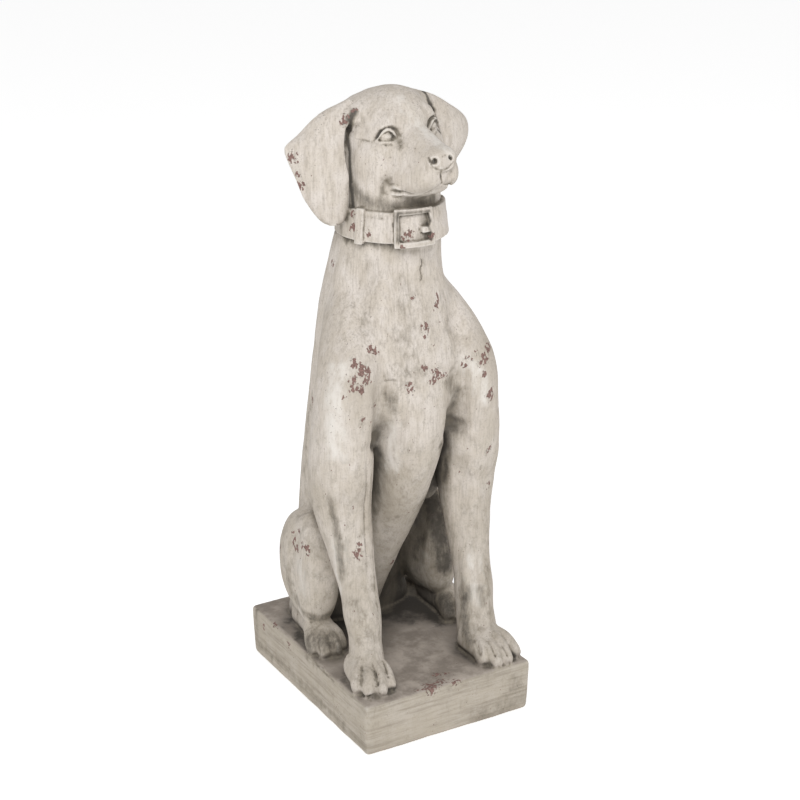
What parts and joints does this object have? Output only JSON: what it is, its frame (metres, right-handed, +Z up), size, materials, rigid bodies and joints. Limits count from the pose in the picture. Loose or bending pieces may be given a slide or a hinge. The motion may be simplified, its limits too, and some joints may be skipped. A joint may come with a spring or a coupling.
{
  "type": "outdoor dog statue",
  "caption": "Garden statue of a sitting short-haired dog with hanging ears and a buckled collar, on a low rectangular plinth, cast in one piece.",
  "frame": {"origin": "middle of the plinth's underside, on the ground", "axes": "+Z up, the dog looks along -Y, its left side is +X"},
  "size_m": [0.245, 0.3026, 0.75],
  "materials": {
    "weathered_stone": "matt, weathered, brushed pale grey-beige over brown"
  },
  "bodies": {
    "root": {"dog_statue": "weathered_stone"}
  },
  "joints": []
}
